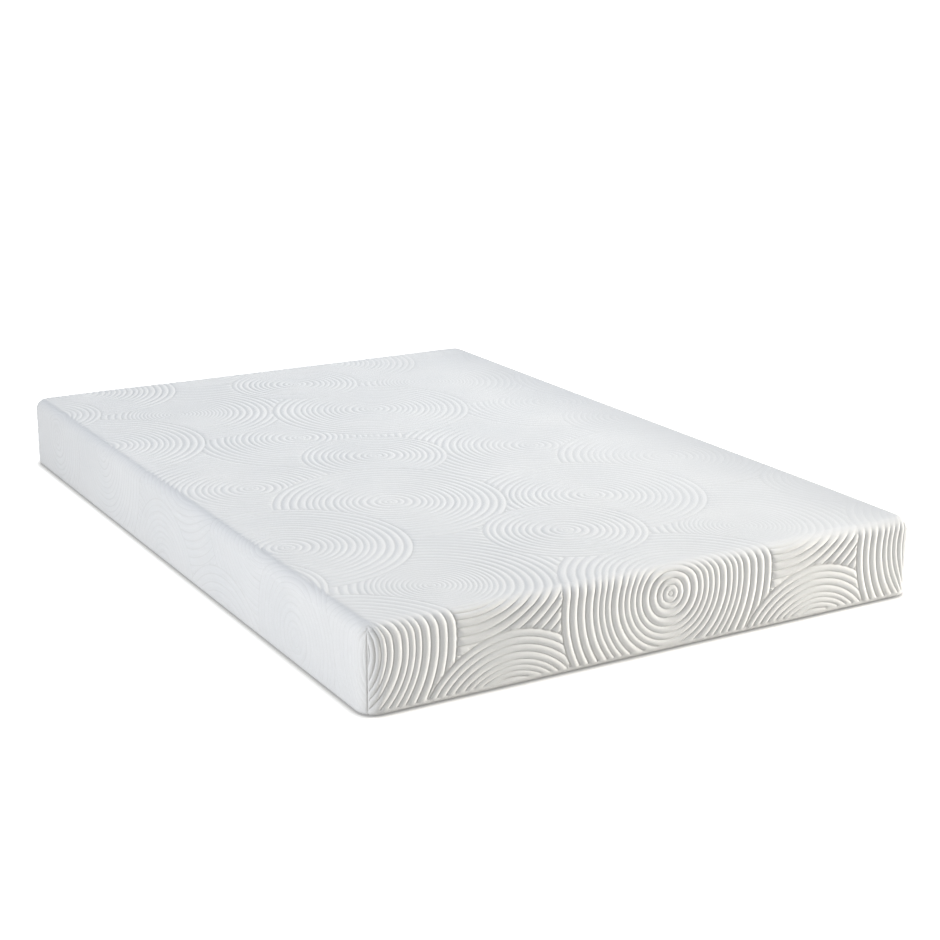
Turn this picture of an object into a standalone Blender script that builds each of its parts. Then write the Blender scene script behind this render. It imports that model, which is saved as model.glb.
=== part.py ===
"""Memory foam mattress with a zip-off cover, as an assembly of separate solids.

Metres, +Z up, origin at the middle of the underside. +Y runs to the head end, where the
cover's zip is, and -Y is the foot end.

From the inside out: three foam layers make the core, a thin knitted barrier sleeve is
drawn over it, and the cover is one knit that drapes over the top and all four sides, sewn
at the corners and turned in under the edge to a plain bottom panel.
"""

import math

import bmesh
import bpy
from mathutils import Matrix, Vector

# Driving dimensions of the finished mattress.
WIDTH = 1.350
LENGTH = 2.000
HEIGHT = 0.180
CORNER_RADIUS = 0.040
TOP_EDGE_RADIUS = 0.028
BOTTOM_EDGE_RADIUS = 0.008

# Gap left between pieces that touch on the real mattress.
GAP = 0.0003

# Modelling settings: how sharp an edge stays sharp, and how far a cutter runs past what it cuts.
SHARP_ANGLE = math.radians(35)
SAME_PLACE = 1e-7
CUTTER_REACH = 0.002
CORNER_STEPS = 8
TOP_EDGE_STEPS = 6
BOTTOM_EDGE_STEPS = 3

# Cover: a thick jacquard knit, turned under the bottom edge all round.
COVER_THICKNESS = 0.004
TURN_UNDER = 0.020
PANEL_THICKNESS = 0.002
SEAM_WIDTH = 0.008
SEAM_THICKNESS = 0.0016
SEAM_EDGE_RADIUS = 0.00056
CORNER_SEAM_LOW = 0.012
CORNER_SEAM_HIGH = 0.150
CORNER_SEAM_CLEARANCE = 0.0007

# Barrier sleeve: a thin knitted sock, open across the head end.
SLEEVE_THICKNESS = 0.001
SLEEVE_SLACK = 0.0005
SLEEVE_CORNER_RADIUS = 0.050
SLEEVE_TOP_RADIUS = 0.026
SLEEVE_BOTTOM_RADIUS = 0.006
SLEEVE_HEM = 0.045
ZIP_ROOM = 0.008

# Foam layers, from the top down. The base takes what is left of the core's height.
MEMORY_FOAM = 0.050
TRANSITION_FOAM = 0.030

# Zip, along X in the head end's border.
ZIP_Z = 0.040
ZIP_SLOT_LENGTH = 1.244
ZIP_SLOT_HEIGHT = 0.013
ZIP_SLOT_CORNER_RADIUS = 0.00585
TAPE_LENGTH = 1.260
TAPE_WIDTH = 0.015
TAPE_THICKNESS = 0.0008
TAPE_SPLIT = 0.002
TAPE_CLEARANCE = 0.0005
ROW_LENGTH = 1.217
ROW_WIDTH = 0.0028
ROW_THICKNESS = 0.0024
ROW_SPLIT = 0.0016
ROW_EDGE_RADIUS = 0.00072
STOP_LENGTH = 0.0035
STOP_WIDTH = 0.008
STOP_EDGE_RADIUS = 0.0004

# Slider, parked at the -X end with the zip closed. Its wide nose faces -X.
SLIDER_X = -0.600
SLIDER_LENGTH = 0.013
SLIDER_WIDTH = 0.0104
SLIDER_TAIL_WIDTH = 0.0092
SLIDER_PLATE = 0.0015
SLIDER_BACK_PLATE = 0.0018
SLIDER_CORNER_RADIUS = 0.0022
BACK_PLATE_CLEARANCE = 0.0004
FLANGE_THICKNESS = 0.0009
FLANGE_CLEARANCE = 0.0006
FLANGE_END_MARGIN = 0.0024
POST_LENGTH = 0.0035
POST_THICKNESS = 0.001
POST_FROM_NOSE = 0.0012
CROWN_RADIUS = 0.0034
CROWN_WIRE_RADIUS = 0.0007
CROWN_STEPS = 14
CROWN_SINK = 0.0005
PIVOT_HEIGHT = 0.0013
JOIN_LAP = 0.0003

# Pull tab, flat against the cover and pointing to -X.
TAB_LENGTH = 0.026
TAB_WIDTH = 0.008
TAB_THICKNESS = 0.0014
TAB_CORNER_RADIUS = 0.0016
TAB_BAR = 0.0016
TAB_WINDOW_LENGTH = 0.0039
TAB_WINDOW_WIDTH = 0.003
TAB_HOLE_RADIUS = 0.0016
TAB_HOLE_FROM_END = 0.0035

# Care label, blank, sewn to the inside of the cover above the zip.
LABEL_SIZE = (0.050, 0.0004, 0.040)
LABEL_MIDDLE = (0.475, 0.095)

# Places that follow from the sizes above.
HEAD_Y = LENGTH / 2
COVER_INNER_HEAD_Y = HEAD_Y - COVER_THICKNESS
TAPE_OUTER_Y = COVER_INNER_HEAD_Y - TAPE_CLEARANCE
ROW_INNER_Y = TAPE_OUTER_Y + GAP
SLEEVE_LOW = Vector(
    (
        -WIDTH / 2 + COVER_THICKNESS + SLEEVE_SLACK,
        -LENGTH / 2 + COVER_THICKNESS + SLEEVE_SLACK,
        COVER_THICKNESS + SLEEVE_SLACK,
    )
)
SLEEVE_HIGH = Vector((-SLEEVE_LOW.x, HEAD_Y - ZIP_ROOM, HEIGHT - COVER_THICKNESS - SLEEVE_SLACK))
CORE_INSET = SLEEVE_THICKNESS + GAP
CORE_LOW = SLEEVE_LOW + Vector((CORE_INSET,) * 3)
CORE_HIGH = SLEEVE_HIGH - Vector((CORE_INSET,) * 3)


def clear_scene():
    for old in list(bpy.data.objects):
        bpy.data.objects.remove(old, do_unlink=True)


def new_collection(name):
    collection = bpy.data.collections.new(name)
    bpy.context.scene.collection.children.link(collection)
    return collection


def new_material(name, colour, roughness, metallic=0.0):
    material = bpy.data.materials.new(name)
    material.use_nodes = True
    shader = material.node_tree.nodes["Principled BSDF"]
    shader.inputs["Base Color"].default_value = (*colour, 1.0)
    shader.inputs["Roughness"].default_value = roughness
    shader.inputs["Metallic"].default_value = metallic
    return material


def add_object(name, bm, collection, material=None, origin=(0.0, 0.0, 0.0)):
    """Makes an object from a bmesh in world coordinates, with the object's origin moved to the given point."""
    bmesh.ops.translate(bm, verts=bm.verts, vec=-Vector(origin))
    bmesh.ops.recalc_face_normals(bm, faces=bm.faces)
    mesh = bpy.data.meshes.new(name)
    bm.to_mesh(mesh)
    bm.free()
    mesh.shade_smooth()
    mesh.set_sharp_from_angle(angle=SHARP_ANGLE)
    if material:
        mesh.materials.append(material)
    made = bpy.data.objects.new(name, mesh)
    made.location = origin
    collection.objects.link(made)
    return made


def add_cutter(name, bm, collection):
    cutter = add_object(name, bm, collection)
    cutter.hide_render = True
    cutter.display_type = "WIRE"
    return cutter


def boolean(target, other, operation):
    modifier = target.modifiers.new(f"{operation.lower()} {other.name}", "BOOLEAN")
    modifier.operation = operation
    modifier.solver = "EXACT"
    modifier.object = other


def block(low, high):
    """A plain box between two corners, as a bmesh."""
    low, high = Vector(low), Vector(high)
    size = high - low
    bm = bmesh.new()
    place = Matrix.Translation((low + high) / 2) @ Matrix.Diagonal((*size, 1.0))
    bmesh.ops.create_cube(bm, size=1.0, matrix=place)
    return bm


def round_edges(bm, chosen, radius, segments):
    edges = [edge for edge in bm.edges if chosen(edge)]
    bmesh.ops.bevel(bm, geom=edges, offset=radius, segments=segments, profile=0.5, affect="EDGES")


def runs_along(axis):
    """A test for edges that run along one axis: 0, 1 or 2."""

    def test(edge):
        run = edge.verts[0].co - edge.verts[1].co
        return all(abs(run[other]) < SAME_PLACE for other in range(3) if other != axis)

    return test


def lies_at_height(z):
    """A test for edges of a block's outline at one height."""

    def test(edge):
        return all(abs(vertex.co.z - z) < SAME_PLACE for vertex in edge.verts)

    return test


def soft_block(low, high, corner, top=0.0, bottom=0.0):
    """A box with rounded upright corners, and rounded top and bottom edges where a radius is given."""
    bm = block(low, high)
    round_edges(bm, runs_along(2), corner, CORNER_STEPS)
    if top:
        round_edges(bm, lies_at_height(high[2]), top, TOP_EDGE_STEPS)
    if bottom:
        round_edges(bm, lies_at_height(low[2]), bottom, BOTTOM_EDGE_STEPS)
    return bm


def flat_face_at(bm, axis, value):
    """The largest face that lies in the plane where one coordinate has the given value."""
    found = [f for f in bm.faces if all(abs(v.co[axis] - value) < SAME_PLACE for v in f.verts)]
    return max(found, key=lambda face: face.calc_area())


def open_face(bm, face, margin):
    """Cuts a hole in a face, leaving a margin of it all round."""
    bmesh.ops.inset_region(bm, faces=[face], thickness=margin, use_even_offset=True)
    bmesh.ops.delete(bm, geom=[face], context="FACES")


def add_shell_thickness(shell, thickness):
    modifier = shell.modifiers.new("cloth thickness", "SOLIDIFY")
    modifier.thickness = thickness
    modifier.offset = -1.0
    modifier.use_even_offset = True


def build_core(parts, memory, transition, support):
    """The three foam layers, stacked with a glue line's gap between them."""
    memory_low = CORE_HIGH.z - MEMORY_FOAM
    transition_high = memory_low - GAP
    transition_low = transition_high - TRANSITION_FOAM
    corner = SLEEVE_CORNER_RADIUS - CORE_INSET

    def layer(name, low_z, high_z, material, top=0.0, bottom=0.0):
        low = (CORE_LOW.x, CORE_LOW.y, low_z)
        high = (CORE_HIGH.x, CORE_HIGH.y, high_z)
        add_object(name, soft_block(low, high, corner, top, bottom), parts, material)

    top_radius = SLEEVE_TOP_RADIUS - SLEEVE_THICKNESS
    bottom_radius = SLEEVE_BOTTOM_RADIUS - SLEEVE_THICKNESS
    layer("memory_foam_top", memory_low, CORE_HIGH.z, memory, top=top_radius)
    layer("transition_foam", transition_low, transition_high, transition)
    layer("support_foam_base", CORE_LOW.z, transition_low - GAP, support, bottom=bottom_radius)


def build_barrier_sleeve(parts, material):
    bm = soft_block(
        SLEEVE_LOW, SLEEVE_HIGH, SLEEVE_CORNER_RADIUS, SLEEVE_TOP_RADIUS, SLEEVE_BOTTOM_RADIUS
    )
    open_face(bm, flat_face_at(bm, 1, SLEEVE_HIGH.y), SLEEVE_HEM)
    sleeve = add_object("fire_barrier_sleeve", bm, parts, material)
    add_shell_thickness(sleeve, SLEEVE_THICKNESS)


def build_cover(parts, cutters, material):
    """Top, sides and turned-in bottom edge of the cover in one cloth, with the zip's slot in the head end."""
    low = (-WIDTH / 2, -LENGTH / 2, 0.0)
    high = (WIDTH / 2, LENGTH / 2, HEIGHT)
    bm = soft_block(low, high, CORNER_RADIUS, TOP_EDGE_RADIUS, BOTTOM_EDGE_RADIUS)
    open_face(bm, flat_face_at(bm, 2, 0.0), TURN_UNDER - BOTTOM_EDGE_RADIUS)
    cover = add_object("quilted_cover", bm, parts, material)
    add_shell_thickness(cover, COVER_THICKNESS)

    slot = block(
        (-ZIP_SLOT_LENGTH / 2, COVER_INNER_HEAD_Y - CUTTER_REACH, ZIP_Z - ZIP_SLOT_HEIGHT / 2),
        (ZIP_SLOT_LENGTH / 2, HEAD_Y + CUTTER_REACH, ZIP_Z + ZIP_SLOT_HEIGHT / 2),
    )
    round_edges(slot, runs_along(1), ZIP_SLOT_CORNER_RADIUS, 4)
    boolean(cover, add_cutter("zip_slot_cutter", slot, cutters), "DIFFERENCE")


def build_corner_seams(parts, material):
    """The overlocked allowance of each upright corner seam, pressed flat against the inside of the cover."""
    middle_radius = CORNER_RADIUS - COVER_THICKNESS - CORNER_SEAM_CLEARANCE - SEAM_THICKNESS / 2
    height = CORNER_SEAM_HIGH - CORNER_SEAM_LOW
    for end, y_sign in (("foot", -1), ("head", 1)):
        for side, x_sign in (("left", -1), ("right", 1)):
            strip = block(
                (-SEAM_WIDTH / 2, -SEAM_THICKNESS / 2, -height / 2),
                (SEAM_WIDTH / 2, SEAM_THICKNESS / 2, height / 2),
            )
            round_edges(strip, runs_along(2), SEAM_EDGE_RADIUS, 2)
            seam = add_object(f"corner_seam_{end}_{side}", strip, parts, material)
            reach = middle_radius * math.sqrt(0.5)
            seam.location = (
                x_sign * (WIDTH / 2 - CORNER_RADIUS + reach),
                y_sign * (LENGTH / 2 - CORNER_RADIUS + reach),
                (CORNER_SEAM_LOW + CORNER_SEAM_HIGH) / 2,
            )
            seam.rotation_euler.z = -x_sign * y_sign * math.pi / 4


def build_bottom(parts, cutters, cloth, thread):
    """The plain panel between the turned-in edges, and the overlocked allowance that joins the two."""
    half_x = WIDTH / 2 - TURN_UNDER - GAP
    half_y = LENGTH / 2 - TURN_UNDER - GAP
    corner = CORNER_RADIUS - TURN_UNDER
    panel = soft_block((-half_x, -half_y, 0.0), (half_x, half_y, PANEL_THICKNESS), corner)
    add_object("bottom_panel", panel, parts, cloth)

    seam_low = PANEL_THICKNESS + GAP
    seam_high = COVER_THICKNESS
    ring = soft_block((-half_x, -half_y, seam_low), (half_x, half_y, seam_high), corner)
    seam = add_object("bottom_seam", ring, parts, thread)
    inside_x = half_x - SEAM_WIDTH
    inside_y = half_y - SEAM_WIDTH
    inside = soft_block(
        (-inside_x, -inside_y, seam_low - CUTTER_REACH),
        (inside_x, inside_y, seam_high + CUTTER_REACH),
        corner - SEAM_WIDTH,
    )
    boolean(seam, add_cutter("bottom_seam_cutter", inside, cutters), "DIFFERENCE")


def build_zip_rows(parts, tape_material, coil_material):
    """The two tapes and the two rows of the coil, with a channel between them for the slider's post."""
    for side, z_sign in (("upper", 1), ("lower", -1)):

        def strip(split, width, length, inner_y, outer_y):
            near = ZIP_Z + z_sign * split / 2
            far = near + z_sign * width
            low = (-length / 2, inner_y, min(near, far))
            high = (length / 2, outer_y, max(near, far))
            return block(low, high)

        tape = strip(
            TAPE_SPLIT, TAPE_WIDTH, TAPE_LENGTH, TAPE_OUTER_Y - TAPE_THICKNESS, TAPE_OUTER_Y
        )
        add_object(f"zip_tape_{side}", tape, parts, tape_material)
        row = strip(ROW_SPLIT, ROW_WIDTH, ROW_LENGTH, ROW_INNER_Y, ROW_INNER_Y + ROW_THICKNESS)
        round_edges(row, runs_along(0), ROW_EDGE_RADIUS, 2)
        add_object(f"zip_coil_{side}", row, parts, coil_material)


def build_zip_stops(parts, material):
    for side, x_sign in (("left", -1), ("right", 1)):
        near = x_sign * (ROW_LENGTH / 2 + 2 * GAP)
        far = near + x_sign * STOP_LENGTH
        stop = block(
            (min(near, far), ROW_INNER_Y, ZIP_Z - STOP_WIDTH / 2),
            (max(near, far), ROW_INNER_Y + ROW_THICKNESS, ZIP_Z + STOP_WIDTH / 2),
        )
        round_edges(stop, lambda edge: True, STOP_EDGE_RADIUS, 2)
        add_object(f"zip_stop_{side}", stop, parts, material)


def tapered_plate(inner_y, outer_y):
    """One plate of the slider, narrower at its tail, in coordinates centred on the slider's middle."""
    half = SLIDER_LENGTH / 2
    plate = block((-half, inner_y, -SLIDER_WIDTH / 2), (half, outer_y, SLIDER_WIDTH / 2))
    for vertex in plate.verts:
        if vertex.co.x > 0:
            vertex.co.z *= SLIDER_TAIL_WIDTH / SLIDER_WIDTH
    round_edges(plate, runs_along(1), SLIDER_CORNER_RADIUS, 4)
    return plate


def crown_wire(collection):
    """The wire arch on the slider's outer plate that holds the pull tab, as a closed mesh bmesh."""
    curve = bpy.data.curves.new("crown", "CURVE")
    curve.dimensions = "3D"
    curve.bevel_depth = CROWN_WIRE_RADIUS
    curve.bevel_resolution = 3
    curve.use_fill_caps = True
    spline = curve.splines.new("POLY")
    spline.points.add(CROWN_STEPS)
    for i, point in enumerate(spline.points):
        angle = math.pi * i / CROWN_STEPS
        sink = CROWN_SINK if i in (0, CROWN_STEPS) else 0.0
        rise = CROWN_RADIUS * math.sin(angle) - sink
        point.co = (CROWN_RADIUS * math.cos(angle), rise, 0.0, 1.0)
    guide = bpy.data.objects.new("crown", curve)
    collection.objects.link(guide)
    graph = bpy.context.evaluated_depsgraph_get()
    mesh = bpy.data.meshes.new_from_object(guide.evaluated_get(graph))
    bpy.data.objects.remove(guide)
    bm = bmesh.new()
    bm.from_mesh(mesh)
    bpy.data.meshes.remove(mesh)
    bmesh.ops.remove_doubles(bm, verts=bm.verts, dist=10 * SAME_PLACE)
    return bm


def build_slider(parts, cutters, material):
    """Two plates joined by the post that parts the coil rows, with flanges round the rows and a crown outside."""
    tape_inner = TAPE_OUTER_Y - TAPE_THICKNESS
    back_outer = tape_inner - BACK_PLATE_CLEARANCE
    back_inner = back_outer - SLIDER_BACK_PLATE
    front_outer = HEAD_Y
    front_inner = front_outer - SLIDER_PLATE
    flange_inner = TAPE_OUTER_Y + FLANGE_CLEARANCE
    place = Vector((SLIDER_X, 0.0, ZIP_Z))

    slider = add_object("zip_slider", tapered_plate(front_inner, front_outer), parts, material)
    slider.location = place

    def join(name, bm):
        piece = add_cutter(name, bm, cutters)
        piece.location = place
        boolean(slider, piece, "UNION")

    join("slider_back_plate", tapered_plate(back_inner, back_outer))
    post_start = -SLIDER_LENGTH / 2 + POST_FROM_NOSE
    post = block(
        (post_start, back_outer - JOIN_LAP, -POST_THICKNESS / 2),
        (post_start + POST_LENGTH, front_inner + JOIN_LAP, POST_THICKNESS / 2),
    )
    join("slider_post", post)
    for side, z_sign in (("upper", 1), ("lower", -1)):
        outer = z_sign * SLIDER_TAIL_WIDTH / 2
        inner = outer - z_sign * FLANGE_THICKNESS
        half = SLIDER_LENGTH / 2 - FLANGE_END_MARGIN
        flange = block(
            (-half, flange_inner, min(inner, outer)),
            (half, front_inner + JOIN_LAP, max(inner, outer)),
        )
        join(f"slider_flange_{side}", flange)
    crown = crown_wire(cutters)
    bmesh.ops.translate(crown, verts=crown.verts, vec=(0.0, front_outer, 0.0))
    join("slider_crown", crown)


def build_pull_tab(parts, cutters, material):
    """The tab, with its origin on the bar that turns under the crown."""
    pivot = Vector((SLIDER_X, HEAD_Y + PIVOT_HEIGHT, ZIP_Z))
    tab_end = TAB_BAR / 2 - TAB_LENGTH
    plate = block(
        (tab_end, -TAB_THICKNESS / 2, -TAB_WIDTH / 2), (TAB_BAR / 2, TAB_THICKNESS / 2, TAB_WIDTH / 2)
    )
    round_edges(plate, runs_along(1), TAB_CORNER_RADIUS, 4)
    tab = add_object("zip_pull_tab", plate, parts, material)
    tab.location = pivot

    window = block(
        (-TAB_BAR / 2 - TAB_WINDOW_LENGTH, -TAB_THICKNESS, -TAB_WINDOW_WIDTH / 2),
        (-TAB_BAR / 2, TAB_THICKNESS, TAB_WINDOW_WIDTH / 2),
    )
    finger_hole = bmesh.new()
    turn = Matrix.Rotation(math.pi / 2, 4, "X")
    bmesh.ops.create_cone(
        finger_hole,
        cap_ends=True,
        segments=20,
        radius1=TAB_HOLE_RADIUS,
        radius2=TAB_HOLE_RADIUS,
        depth=3 * TAB_THICKNESS,
        matrix=Matrix.Translation((tab_end + TAB_HOLE_FROM_END, 0.0, 0.0)) @ turn,
    )
    for name, bm in (("tab_window_cutter", window), ("tab_hole_cutter", finger_hole)):
        cutter = add_cutter(name, bm, cutters)
        cutter.location = pivot
        boolean(tab, cutter, "DIFFERENCE")


def build_care_label(parts, material):
    length, thickness, height = LABEL_SIZE
    x, z = LABEL_MIDDLE
    outer_y = COVER_INNER_HEAD_Y - 2 * GAP
    label = block(
        (x - length / 2, outer_y - thickness, z - height / 2), (x + length / 2, outer_y, z + height / 2)
    )
    add_object("care_label", label, parts, material)


def main():
    clear_scene()
    parts = new_collection("memory_foam_mattress")
    cutters = new_collection("cutters")

    cover_knit = new_material("cover_knit", (0.86, 0.87, 0.88), 0.85)
    bottom_knit = new_material("bottom_knit", (0.80, 0.80, 0.79), 0.90)
    seam_thread = new_material("seam_thread", (0.88, 0.88, 0.87), 0.80)
    barrier_knit = new_material("barrier_knit", (0.84, 0.83, 0.78), 0.92)
    memory_foam = new_material("memory_foam", (0.88, 0.86, 0.78), 0.95)
    transition_foam = new_material("transition_foam", (0.72, 0.80, 0.86), 0.95)
    support_foam = new_material("support_foam", (0.90, 0.90, 0.88), 0.95)
    zip_tape = new_material("zip_tape", (0.86, 0.86, 0.86), 0.75)
    zip_coil = new_material("zip_coil", (0.84, 0.84, 0.84), 0.40)
    zip_metal = new_material("zip_metal", (0.62, 0.62, 0.63), 0.30, metallic=1.0)
    label_tape = new_material("label_tape", (0.90, 0.90, 0.89), 0.60)

    build_core(parts, memory_foam, transition_foam, support_foam)
    build_barrier_sleeve(parts, barrier_knit)
    build_cover(parts, cutters, cover_knit)
    build_corner_seams(parts, seam_thread)
    build_bottom(parts, cutters, bottom_knit, seam_thread)
    build_zip_rows(parts, zip_tape, zip_coil)
    build_zip_stops(parts, zip_metal)
    build_slider(parts, cutters, zip_metal)
    build_pull_tab(parts, cutters, zip_metal)
    build_care_label(parts, label_tape)


main()
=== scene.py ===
"""Memory foam mattress in its jacquard knit cover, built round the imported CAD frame.

The cover's cloth is laid out flat first, as it was cut: the top panel with a border on each
side, in (s, t) with the middle of the top at the origin. Its pattern of overlapping discs of
rings is meshed there, ring by ring, and the flat mesh is then folded over the foam.
"""

import math

import bmesh
import bpy
import numpy as np
from mathutils import Matrix, Vector
from mathutils.geometry import delaunay_2d_cdt


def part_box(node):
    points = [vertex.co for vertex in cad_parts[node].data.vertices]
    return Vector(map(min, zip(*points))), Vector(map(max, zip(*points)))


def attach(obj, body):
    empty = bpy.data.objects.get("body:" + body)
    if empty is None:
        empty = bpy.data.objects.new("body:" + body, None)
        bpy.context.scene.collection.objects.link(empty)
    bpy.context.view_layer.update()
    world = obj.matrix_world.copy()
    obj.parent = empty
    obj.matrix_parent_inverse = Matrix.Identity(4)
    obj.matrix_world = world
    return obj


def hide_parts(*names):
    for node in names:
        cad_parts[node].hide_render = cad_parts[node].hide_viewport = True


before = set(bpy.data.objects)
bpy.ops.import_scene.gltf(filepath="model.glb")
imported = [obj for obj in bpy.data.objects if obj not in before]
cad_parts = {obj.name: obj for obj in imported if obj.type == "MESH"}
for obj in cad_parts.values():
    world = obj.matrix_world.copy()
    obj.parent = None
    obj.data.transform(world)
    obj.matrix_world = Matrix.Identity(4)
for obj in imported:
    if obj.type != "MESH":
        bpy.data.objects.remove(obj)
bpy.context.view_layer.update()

_, COVER_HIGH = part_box("quilted_cover")
HALF_WIDTH = COVER_HIGH.x
HALF_LENGTH = COVER_HIGH.y
HEIGHT = COVER_HIGH.z

# The cover's form, as in the CAD.
CORNER_RADIUS = 0.040
TOP_RADIUS = 0.028
BOTTOM_RADIUS = 0.008
CLOTH_THICKNESS = 0.004
TURN_UNDER = 0.020
BORDER = HEIGHT + TURN_UNDER
SHARP_EDGE = math.radians(50)

# The zip's slot in the head end's border.
ZIP_Z = 0.040
SLOT_HALF_LENGTH = 0.622
SLOT_HALF_HEIGHT = 0.0065
SLOT_WELT = 0.007
STITCH_LINE = 0.0048

# The relief of the knit. The top and the long sides have a share of a puff's full height, and the
# top's own share runs from its left to its right. A tilt shifts where the foot end's puffs begin.
PUFF = 0.0034
TOP_PUFF_SHARE = 0.19
TOP_LEFT_SHARE, TOP_RIGHT_SHARE = 1.3, 0.4
LONG_SIDE_PUFF_SHARE = 0.30
ONSET_TILT = 0.008
USUAL_RING = 0.0165
CREST_SHARE = 0.45

# How much more painted shade, with its tint of tighter yarn, the cloth gets round its discs and down
# its corner seams than in the valleys between rings.
DISC_EDGE_TINT_AND_SHADE, SEAM_TINT_AND_SHADE = 1.8, 1.5

# How the pattern lies on the cloth: u and v start at the foot end's left bottom corner.
COLUMN_STEP = 0.756
ROW_STEP = (0.057, 1.487)


# --------------------------------------------------------------------- camera, floor, light


def put_in_scene(name, data):
    made = bpy.data.objects.new(name, data)
    bpy.context.scene.collection.objects.link(made)
    return made


def add_camera():
    """The view over the foot end's left corner."""
    azimuth, elevation, roll = (math.radians(a) for a in (30.29, 16.30, 0.19))
    flat = math.cos(elevation)
    forward = Vector((math.sin(azimuth) * flat, math.cos(azimuth) * flat, -math.sin(elevation)))
    right = Vector((math.cos(azimuth), -math.sin(azimuth), 0.0))
    up = right.cross(forward)
    x_axis = right * math.cos(roll) + up * math.sin(roll)
    y_axis = up * math.cos(roll) - right * math.sin(roll)
    data = bpy.data.cameras.new("camera")
    data.lens = 68.84
    data.sensor_width = 36.0
    data.clip_end = 200.0
    camera = put_in_scene("camera", data)
    turn = Matrix((x_axis, y_axis, -forward)).transposed().to_4x4()
    camera.matrix_world = Matrix.Translation((-2.0507, -3.7367, 1.3759)) @ turn
    bpy.context.scene.camera = camera


def add_area_light(name, place, target, size, watts, colour):
    data = bpy.data.lights.new(name, "AREA")
    data.shape = "RECTANGLE"
    data.size, data.size_y = size
    data.energy = watts
    data.color = colour
    light = put_in_scene(name, data)
    light.location = place
    light.rotation_mode = "QUATERNION"
    light.rotation_quaternion = (Vector(target) - Vector(place)).to_track_quat("-Z", "Y")


BLUE_SKY = (0.86, 0.965, 1.12)
COOL = (0.965, 0.985, 1.025)
WARM = (1.0, 0.96, 0.88)


def light_the_studio():
    """Soft light all round, white to the camera, and three softboxes."""
    world = bpy.data.worlds.new("studio")
    world.use_nodes = True
    tree = world.node_tree
    tree.nodes.clear()
    path = tree.nodes.new("ShaderNodeLightPath")
    mix = tree.nodes.new("ShaderNodeMixShader")
    out = tree.nodes.new("ShaderNodeOutputWorld")
    tree.links.new(path.outputs["Is Camera Ray"], mix.inputs["Fac"])
    tree.links.new(mix.outputs["Shader"], out.inputs["Surface"])
    felt, seen = ((1.0, 0.985, 0.955, 1.0), 0.31), ((1.0, 1.0, 1.0, 1.0), 1.1)
    for index, (colour, strength) in ((1, felt), (2, seen)):
        light = tree.nodes.new("ShaderNodeBackground")
        light.inputs["Color"].default_value = colour
        light.inputs["Strength"].default_value = strength
        tree.links.new(light.outputs["Background"], mix.inputs[index])
    bpy.context.scene.world = world
    bpy.context.scene.view_settings.view_transform = "Standard"

    add_area_light("overhead", (0.7, 0.9, 3.9), (0.3, 0.3, 0.0), (3.2, 3.4), 55.5, BLUE_SKY)
    add_area_light("left_fill", (-5.0, -0.95, 1.5), (-0.6, -0.4, 0.1), (2.0, 1.8), 124.0, COOL)
    add_area_light("right_key", (6.6, -2.25, 1.75), (0.2, -1.0, 0.1), (1.0, 0.8), 800.0, WARM)


def add_stage_sheet(name, corners, material):
    """One flat sheet of the studio's own, which isn't part of the object."""
    mesh = bpy.data.meshes.new(name)
    mesh.from_pydata(corners, [], [(0, 1, 2, 3)])
    mesh.materials.append(material)
    sheet = put_in_scene(name, mesh)
    return sheet


def add_scrim():
    """A grey net that stands out of shot and tames the key on the right long side."""
    x, near, far = HALF_WIDTH + 0.50, -HALF_LENGTH - 0.095, HALF_LENGTH + 0.80
    bottom, top = 0.05, 0.320
    net = bpy.data.materials.new("scrim_net")
    net.use_nodes = True
    tree = net.node_tree
    tree.nodes.clear()
    thin = tree.nodes.new("ShaderNodeBsdfTransparent")
    thin.inputs["Color"].default_value = (0.12, 0.12, 0.13, 1.0)
    out = tree.nodes.new("ShaderNodeOutputMaterial")
    tree.links.new(thin.outputs["BSDF"], out.inputs["Surface"])
    corners = [(x, near, bottom), (x, far, bottom), (x, far, top), (x, near, top)]
    scrim = add_stage_sheet("scrim", corners, net)
    for way in ("camera", "diffuse", "glossy", "transmission"):
        setattr(scrim, f"visible_{way}", False)


FLOOR_COLOUR = (0.86, 0.85, 0.82)


def make_floor_material():
    """White studio floor that glows to the camera, with a painted contact shadow only close under the
    mattress.
    """
    white = (1.0, 1.0, 1.0, 1.0)
    floor = Surface("studio_floor", FLOOR_COLOUR, 0.9, Specular_IOR_Level=0.1, Emission_Color=white)
    away = floor.add("ShaderNodeVectorMath", {"operation": "LENGTH"}, _0=floor.place)
    glow = floor.add(
        "ShaderNodeMapRange",
        Value=away.outputs["Value"], From_Min=1.3, From_Max=4.5, To_Min=0.8, To_Max=1.0,
    )
    # Painted contact shadow: close round the mattress the occlusion darkens the floor's colour and its
    # glow.
    shadow_occlusion = floor.add("ShaderNodeAmbientOcclusion", {"samples": 8}, Distance=0.027)
    painted_contact_shadow = floor.add(
        "ShaderNodeMapRange",
        Value=shadow_occlusion.outputs["AO"], From_Min=0.40, From_Max=0.96, To_Min=0.36, To_Max=1.0,
    ).outputs["Result"]
    seen = floor.add("ShaderNodeLightPath").outputs["Is Camera Ray"]
    strength = floor.maths("MULTIPLY", floor.maths("MULTIPLY", glow.outputs["Result"], seen), painted_contact_shadow)
    floor.tree.links.new(strength, floor.shader.inputs["Emission Strength"])
    floor.colour_from(floor.mix(painted_contact_shadow, (0.0, 0.0, 0.0), FLOOR_COLOUR))
    return floor.material


def add_floor():
    """The floor lies just under the bottom seam's stitches, which stand out of the cloth."""
    size, under_stitches = 60.0, 0.0012
    corners = [(-size, -size, 0.0), (size, -size, 0.0), (size, size, 0.0), (-size, size, 0.0)]
    floor = add_stage_sheet("floor", corners, make_floor_material())
    floor.location.z = -under_stitches


# ------------------------------------------------------------------------------- materials


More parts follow.
